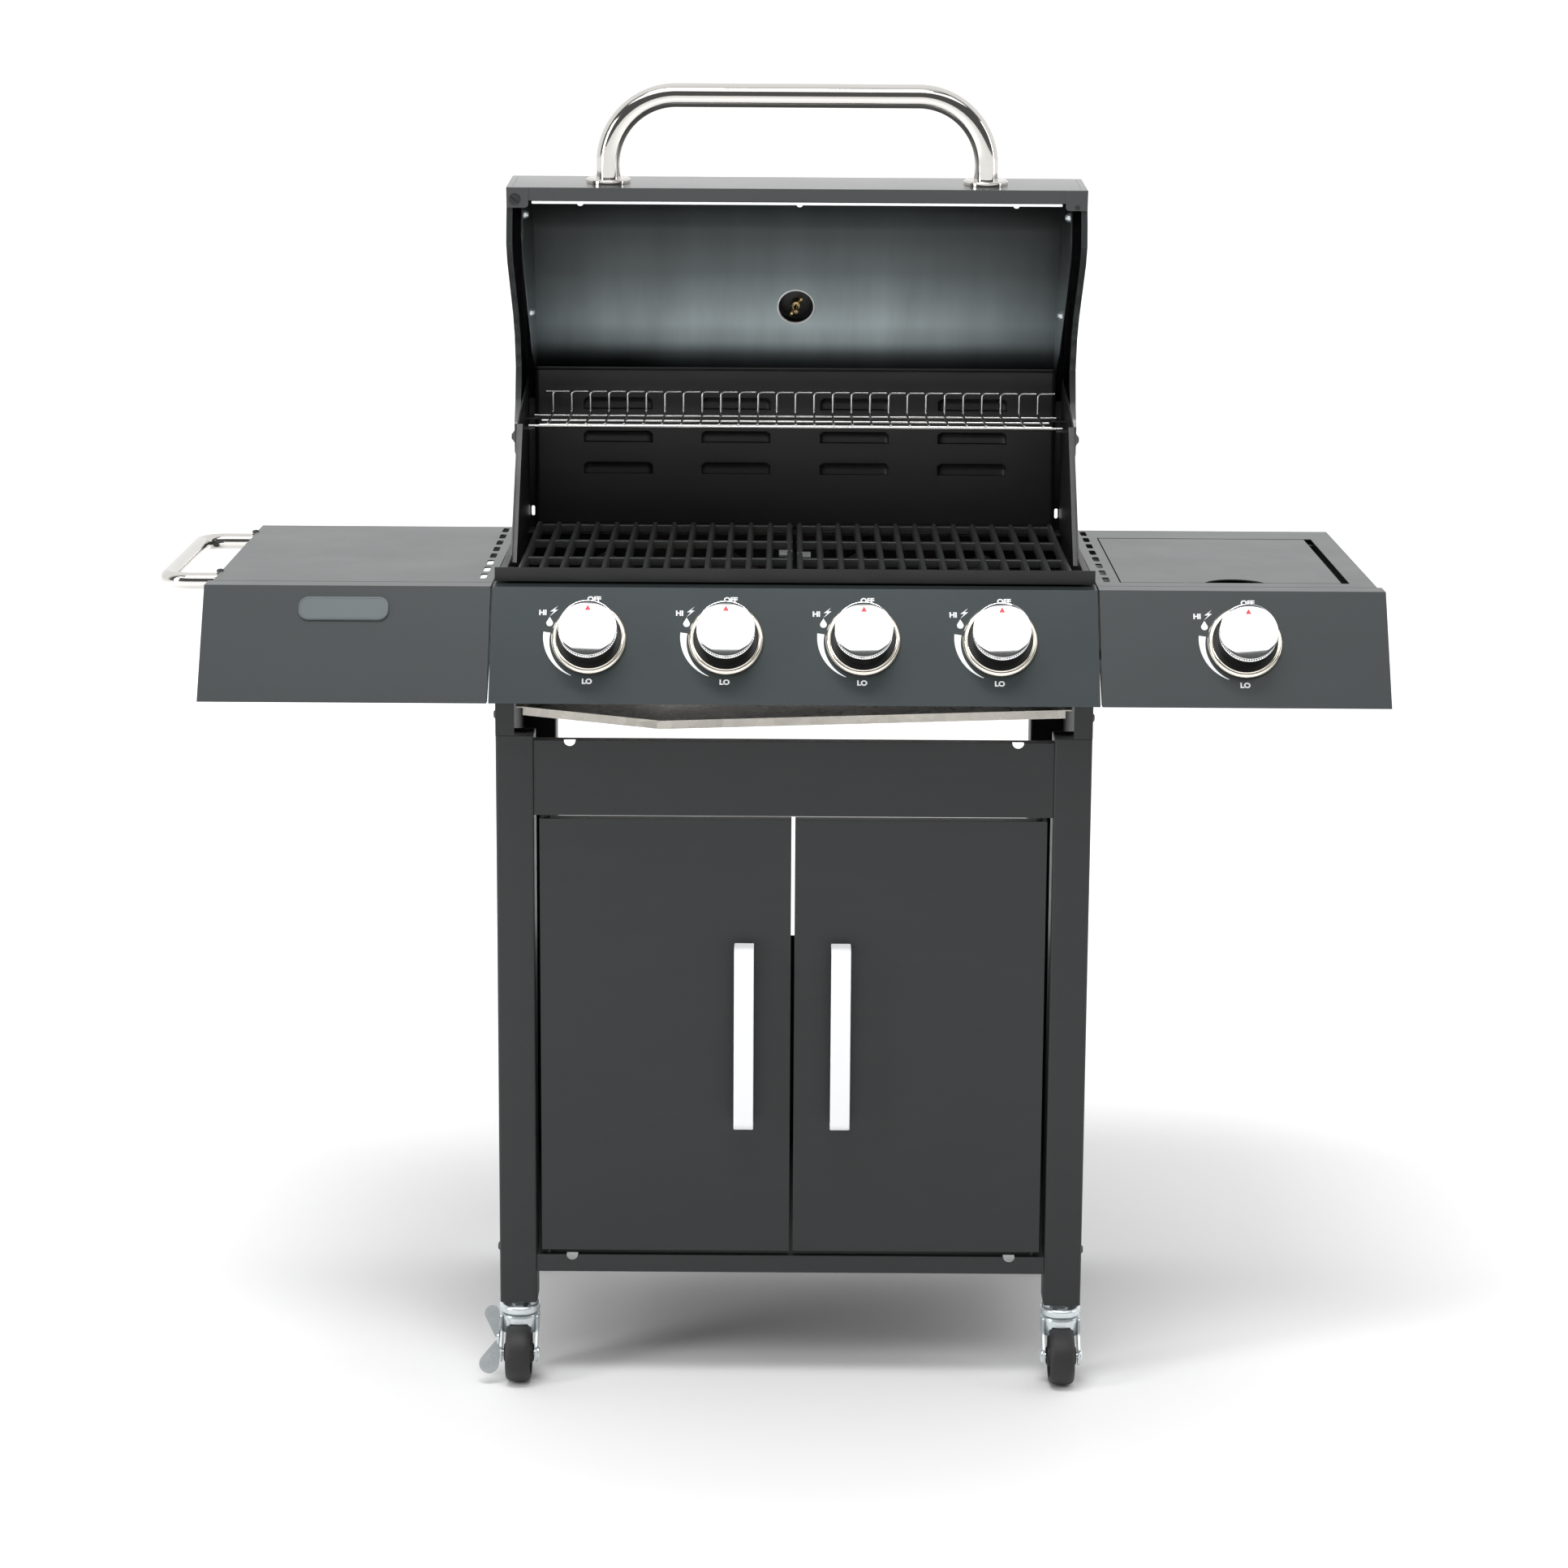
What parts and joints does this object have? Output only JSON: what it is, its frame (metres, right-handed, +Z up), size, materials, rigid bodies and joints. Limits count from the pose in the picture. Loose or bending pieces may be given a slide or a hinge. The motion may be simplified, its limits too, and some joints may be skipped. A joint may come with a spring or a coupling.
{
  "type": "gas barbecue grill",
  "caption": "Gas barbecue on a wheeled cabinet cart, with an open hinged lid, cast grates, side shelves, a covered side burner, push-and-turn knobs and a slide-out drip tray.",
  "frame": {"origin": "on the ground, under the middle of the whole grill's bounding box with the lid open", "axes": "+Z up, -Y towards the cook (front, with the knobs and doors), +X to the cook's right (side burner)"},
  "size_m": [1.3684, 0.5282, 1.4581],
  "materials": {
    "cart_paint": "satin charcoal powder coat",
    "panel_paint": "satin metallic blue-grey paint",
    "shelf_paint": "satin grey paint",
    "black_enamel": "semi-matt black enamel",
    "liner_steel": "satin grey-green steel",
    "cast_iron": "seasoned cast iron",
    "chrome": "polished",
    "stainless": "polished stainless tube",
    "zinc": "bright zinc plate",
    "galvanised": "galvanised sheet",
    "tyre": "black tread",
    "brass": "machined",
    "badge": "grey moulding",
    "pull_aluminium": "satin"
  },
  "bodies": {
    "cart": {"front_legs": "cart_paint", "rear_legs": "cart_paint", "top_rail": "cart_paint", "bottom_shelf": "cart_paint", "side_panels": "cart_paint", "back_panel": "cart_paint", "support_brackets": "black_enamel", "firebox": "black_enamel", "back_wall": "black_enamel", "control_panel": "panel_paint", "left_shelf": "shelf_paint", "right_shelf": "shelf_paint", "badge_plate": "badge", "side_handle": "stainless", "side_burner_bowl": "black_enamel", "side_burner_head": "brass", "pot_support": "cast_iron", "main_burners": "galvanised", "flame_tamers": "galvanised", "gas_manifold": "zinc", "burner_valves": "brass", "knob_bezels": "chrome", "grate_left": "cast_iron", "grate_right": "cast_iron", "warming_rack": "chrome", "caster_stems": "zinc", "frame_bolts": "black_enamel"},
    "lid": {"lid_shell": "panel_paint", "lid_liner": "liner_steel", "lid_end_caps": "cart_paint", "lid_handle": "stainless", "handle_flanges": "stainless", "thermometer": "stainless", "lid_nuts": "chrome"},
    "left_door": {"door_left": "cart_paint", "door_handle_left": "pull_aluminium"},
    "right_door": {"door_right": "cart_paint", "door_handle_right": "pull_aluminium"},
    "burner_cover": {"side_burner_lid": "shelf_paint"},
    "tray": {"drip_tray": "galvanised"},
    "push_1": {"spindle_1": "zinc"},
    "dial_1": {"knob_1": "chrome"},
    "push_2": {"spindle_2": "zinc"},
    "dial_2": {"knob_2": "chrome"},
    "push_3": {"spindle_3": "zinc"},
    "dial_3": {"knob_3": "chrome"},
    "push_4": {"spindle_4": "zinc"},
    "dial_4": {"knob_4": "chrome"},
    "push_5": {"spindle_5": "zinc"},
    "dial_5": {"knob_5": "chrome"},
    "swivel_front_left": {"fork_front_left": "zinc"},
    "roller_front_left": {"wheel_front_left": "tyre"},
    "swivel_front_right": {"fork_front_right": "zinc"},
    "roller_front_right": {"wheel_front_right": "tyre"},
    "swivel_rear_left": {"fork_rear_left": "zinc"},
    "roller_rear_left": {"wheel_rear_left": "tyre"},
    "swivel_rear_right": {"fork_rear_right": "zinc"},
    "roller_rear_right": {"wheel_rear_right": "tyre"},
    "pedal_front_left": {"brake_front_left": "zinc"},
    "pedal_rear_left": {"brake_rear_left": "zinc"}
  },
  "joints": [
    {"name": "lid_hinge", "type": "hinge", "parent": "cart", "child": "lid", "pos_m": [0.03425, 0.13381, 1.04], "axis": [1, 0, 0], "range_deg": [0, 86]},
    {"name": "left_door_hinge", "type": "hinge", "parent": "cart", "child": "left_door", "pos_m": [-0.23975, -0.18919, 0.4], "axis": [0, 0, -1], "range_deg": [0, 110]},
    {"name": "right_door_hinge", "type": "hinge", "parent": "cart", "child": "right_door", "pos_m": [0.30825, -0.18919, 0.4], "axis": [0, 0, 1], "range_deg": [0, 110]},
    {"name": "burner_cover_hinge", "type": "hinge", "parent": "cart", "child": "burner_cover", "pos_m": [0.52425, 0.15781, 0.91], "axis": [-1, 0, 0], "range_deg": [0, 95]},
    {"name": "drip_tray_slide", "type": "slide", "parent": "cart", "child": "tray", "axis": [0, -1, 0], "range_m": [0, 0.3]},
    {"name": "knob_1_push", "type": "slide", "parent": "cart", "child": "push_1", "axis": [0, 0.866, -0.5], "range_m": [0, 0.004], "stiffness_N_per_m": 2500, "springref_m": -0.001},
    {"name": "knob_1_turn", "type": "hinge", "parent": "push_1", "child": "dial_1", "pos_m": [-0.19075, -0.21544, 0.8646], "axis": [0, -0.866, 0.5], "range_deg": [0, 180]},
    {"name": "knob_2_push", "type": "slide", "parent": "cart", "child": "push_2", "axis": [0, 0.866, -0.5], "range_m": [0, 0.004], "stiffness_N_per_m": 2500, "springref_m": -0.001},
    {"name": "knob_2_turn", "type": "hinge", "parent": "push_2", "child": "dial_2", "pos_m": [-0.04075, -0.21544, 0.8646], "axis": [0, -0.866, 0.5], "range_deg": [0, 180]},
    {"name": "knob_3_push", "type": "slide", "parent": "cart", "child": "push_3", "axis": [0, 0.866, -0.5], "range_m": [0, 0.004], "stiffness_N_per_m": 2500, "springref_m": -0.001},
    {"name": "knob_3_turn", "type": "hinge", "parent": "push_3", "child": "dial_3", "pos_m": [0.10925, -0.21544, 0.8646], "axis": [0, -0.866, 0.5], "range_deg": [0, 180]},
    {"name": "knob_4_push", "type": "slide", "parent": "cart", "child": "push_4", "axis": [0, 0.866, -0.5], "range_m": [0, 0.004], "stiffness_N_per_m": 2500, "springref_m": -0.001},
    {"name": "knob_4_turn", "type": "hinge", "parent": "push_4", "child": "dial_4", "pos_m": [0.25925, -0.21544, 0.8646], "axis": [0, -0.866, 0.5], "range_deg": [0, 180]},
    {"name": "knob_5_push", "type": "slide", "parent": "cart", "child": "push_5", "axis": [0, 0.866, -0.5], "range_m": [0, 0.004], "stiffness_N_per_m": 2500, "springref_m": -0.001},
    {"name": "knob_5_turn", "type": "hinge", "parent": "push_5", "child": "dial_5", "pos_m": [0.52675, -0.21544, 0.8646], "axis": [0, -0.866, 0.5], "range_deg": [0, 180]},
    {"name": "swivel_front_left", "type": "hinge", "parent": "cart", "child": "swivel_front_left", "pos_m": [-0.27475, -0.17819, 0.077], "axis": [0, 0, 1], "continuous": true},
    {"name": "axle_front_left", "type": "hinge", "parent": "swivel_front_left", "child": "roller_front_left", "pos_m": [-0.27475, -0.20019, 0.0325], "axis": [1, 0, 0], "continuous": true},
    {"name": "swivel_front_right", "type": "hinge", "parent": "cart", "child": "swivel_front_right", "pos_m": [0.34325, -0.17819, 0.077], "axis": [0, 0, 1], "continuous": true},
    {"name": "axle_front_right", "type": "hinge", "parent": "swivel_front_right", "child": "roller_front_right", "pos_m": [0.34325, -0.20019, 0.0325], "axis": [1, 0, 0], "continuous": true},
    {"name": "swivel_rear_left", "type": "hinge", "parent": "cart", "child": "swivel_rear_left", "pos_m": [-0.27475, 0.20181, 0.077], "axis": [0, 0, 1], "continuous": true},
    {"name": "axle_rear_left", "type": "hinge", "parent": "swivel_rear_left", "child": "roller_rear_left", "pos_m": [-0.27475, 0.17981, 0.0325], "axis": [1, 0, 0], "continuous": true},
    {"name": "swivel_rear_right", "type": "hinge", "parent": "cart", "child": "swivel_rear_right", "pos_m": [0.34325, 0.20181, 0.077], "axis": [0, 0, 1], "continuous": true},
    {"name": "axle_rear_right", "type": "hinge", "parent": "swivel_rear_right", "child": "roller_rear_right", "pos_m": [0.34325, 0.17981, 0.0325], "axis": [1, 0, 0], "continuous": true},
    {"name": "brake_front_left_pedal", "type": "hinge", "parent": "swivel_front_left", "child": "pedal_front_left", "pos_m": [-0.29775, -0.18619, 0.052], "axis": [1, 0, 0], "range_deg": [0, 18]},
    {"name": "brake_rear_left_pedal", "type": "hinge", "parent": "swivel_rear_left", "child": "pedal_rear_left", "pos_m": [-0.29775, 0.19381, 0.052], "axis": [1, 0, 0], "range_deg": [0, 18]}
  ]
}
